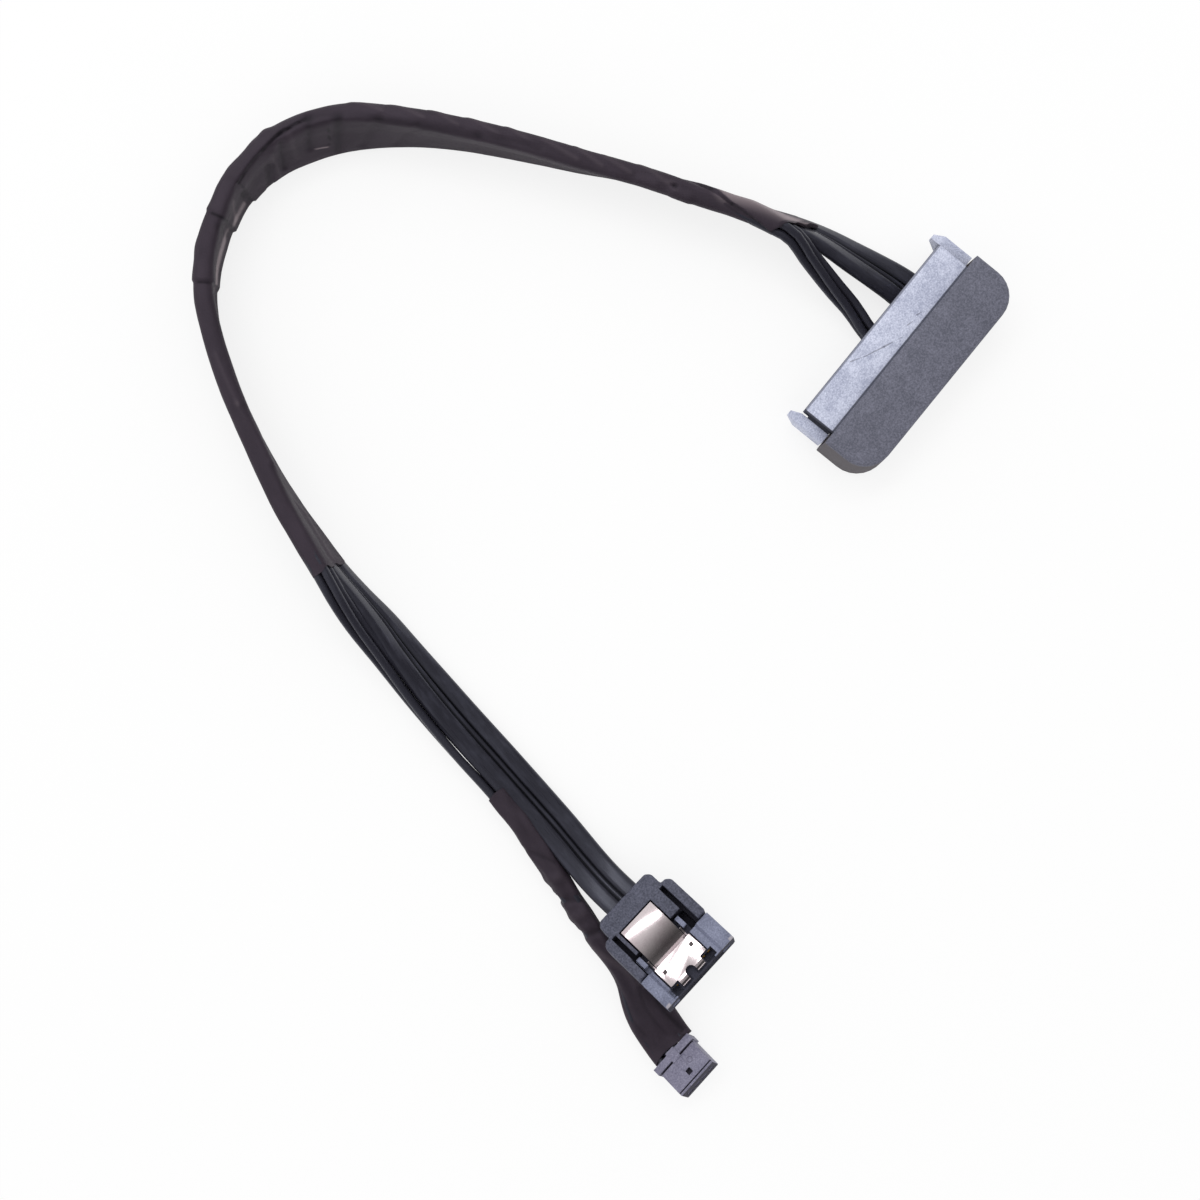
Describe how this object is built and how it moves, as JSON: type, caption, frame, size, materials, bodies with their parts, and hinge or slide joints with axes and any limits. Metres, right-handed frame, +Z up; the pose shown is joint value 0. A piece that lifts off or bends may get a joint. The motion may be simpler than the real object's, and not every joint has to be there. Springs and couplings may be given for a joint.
{
  "type": "drive data and power cable",
  "caption": "Short taped drive cable: a receptacle with a grip cap for data and power, a latching data plug and a small square power plug, joined by a flat data lead and thin power wires",
  "frame": {"origin": "middle of the grip cap's resting face, on the surface that the cable lies on", "axes": "+Y is the receptacle's mating direction, +X runs across the receptacle from its power side to its data side, +Z is up from the table"},
  "size_m": [0.1435, 0.1628, 0.0153],
  "materials": {
    "satin_plastic": "satin blue-black moulded plastic",
    "grained_plastic": "fine spark-eroded grain, black",
    "plug_plastic": "satin grey-black moulded plastic",
    "gold_contact": "thin gold plate over a copper alloy spring",
    "tin_contact": "dull tin plate over a copper alloy",
    "latch_steel": "bright rolled spring steel",
    "cable_jacket": "smooth black jacket with a soft sheen",
    "cloth_tape": "black woven cloth tape"
  },
  "bodies": {
    "cable": {"drive_receptacle_housing": "satin_plastic", "drive_connector_cap": "grained_plastic", "drive_signal_contact_1": "gold_contact", "drive_signal_contact_2": "gold_contact", "drive_signal_contact_3": "gold_contact", "drive_signal_contact_4": "gold_contact", "drive_signal_contact_5": "gold_contact", "drive_signal_contact_6": "gold_contact", "drive_signal_contact_7": "gold_contact", "drive_power_contact_1": "gold_contact", "drive_power_contact_2": "gold_contact", "drive_power_contact_3": "gold_contact", "drive_power_contact_4": "gold_contact", "drive_power_contact_5": "gold_contact", "drive_power_contact_6": "gold_contact", "drive_power_contact_7": "gold_contact", "drive_power_contact_8": "gold_contact", "drive_power_contact_9": "gold_contact", "drive_power_contact_10": "gold_contact", "drive_power_contact_11": "gold_contact", "drive_power_contact_12": "gold_contact", "drive_power_contact_13": "gold_contact", "drive_power_contact_14": "gold_contact", "drive_power_contact_15": "gold_contact", "data_plug_contact_1": "gold_contact", "data_plug_contact_2": "gold_contact", "data_plug_contact_3": "gold_contact", "data_plug_contact_4": "gold_contact", "data_plug_contact_5": "gold_contact", "data_plug_contact_6": "gold_contact", "data_plug_contact_7": "gold_contact", "data_plug_housing": "satin_plastic", "data_plug_cover": "grained_plastic", "power_plug_housing": "plug_plastic", "power_plug_terminal_1": "tin_contact", "power_plug_terminal_2": "tin_contact", "power_plug_terminal_3": "tin_contact", "power_plug_terminal_4": "tin_contact", "data_cable": "cable_jacket", "power_wire_1": "cable_jacket", "power_wire_2": "cable_jacket", "power_wire_3": "cable_jacket", "power_wire_4": "cable_jacket", "main_tape_wrap": "cloth_tape", "branch_tape_wrap": "cloth_tape"},
    "latch": {"data_plug_latch": "latch_steel"}
  },
  "joints": [
    {"name": "latch_press", "type": "hinge", "parent": "cable", "child": "latch", "pos_m": [-0.10373, -0.03362, 0.01312], "axis": [-0.9793, 0.0944, 0.1793], "range_deg": [0, 4], "stiffness_Nm_per_rad": 0.3}
  ]
}
